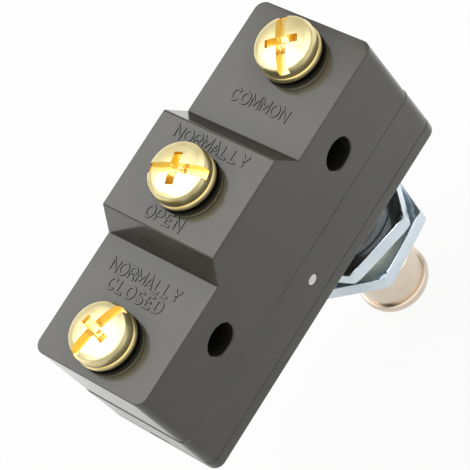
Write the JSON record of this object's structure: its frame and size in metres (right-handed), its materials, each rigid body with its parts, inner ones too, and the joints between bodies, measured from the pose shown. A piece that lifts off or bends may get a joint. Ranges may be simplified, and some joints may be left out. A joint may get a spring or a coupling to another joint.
{
  "type": "panel mount plunger switch",
  "caption": "Snap-action limit switch with a moulded body, screw terminals, side mounting holes and a sprung plunger in a threaded panel bushing.",
  "frame": {"origin": "midway between the two mounting holes, at half the body's width", "axes": "+Z to the screw terminals, +X to the common terminal, +Y to the back; the plunger points to -Z"},
  "size_m": [0.0492, 0.0188, 0.0543],
  "materials": {
    "case_plastic": "satin dark grey thermoset",
    "screw_brass": "polished",
    "terminal_brass": "satin",
    "zinc_steel": "bright zinc, faintly blue",
    "plunger_steel": "turned, satin",
    "spring_steel": "drawn wire",
    "contact_silver": "satin",
    "blade_copper": "rolled",
    "white_pin": "moulded",
    "pin_plastic": "moulded"
  },
  "bodies": {
    "switch_body": {"case": "case_plastic", "base_cover": "case_plastic", "cover_lock_pins": "white_pin", "common_terminal": "terminal_brass", "normally_open_terminal": "terminal_brass", "normally_closed_terminal": "terminal_brass", "common_washer": "screw_brass", "normally_open_washer": "screw_brass", "normally_closed_washer": "screw_brass", "common_screw": "screw_brass", "normally_open_screw": "screw_brass", "normally_closed_screw": "screw_brass", "normally_open_contact": "contact_silver", "normally_closed_contact": "contact_silver", "snap_blade": "blade_copper", "anchor_rivet": "terminal_brass", "bushing": "zinc_steel", "inner_nut": "zinc_steel", "outer_nut": "zinc_steel", "return_spring": "spring_steel", "overtravel_spring": "spring_steel"},
    "plunger": {"plunger": "plunger_steel", "retaining_ring": "spring_steel"},
    "actuator": {"actuator_rod": "plunger_steel", "switch_pin": "pin_plastic"},
    "moving_contact": {"moving_contact": "contact_silver"}
  },
  "joints": [
    {"name": "plunger_slide", "type": "slide", "parent": "switch_body", "child": "plunger", "axis": [0, 0, 1], "range_m": [0, 0.0059], "stiffness_N_per_m": 500, "springref_m": -0.0055, "deforming": ["return_spring", "overtravel_spring"]},
    {"name": "actuator_slide", "type": "slide", "parent": "switch_body", "child": "actuator", "axis": [0, 0, 1], "range_m": [0, 0.0004]},
    {"name": "contact_snap", "type": "slide", "parent": "switch_body", "child": "moving_contact", "axis": [0, 0, 1], "range_m": [0, 0.00048], "deforming": ["snap_blade"]}
  ],
  "couplings": [
    {"joint": "actuator_slide", "follows": "plunger_slide", "ratio": 0.0677},
    {"joint": "contact_snap", "follows": "plunger_slide", "ratio": 0.0813}
  ]
}
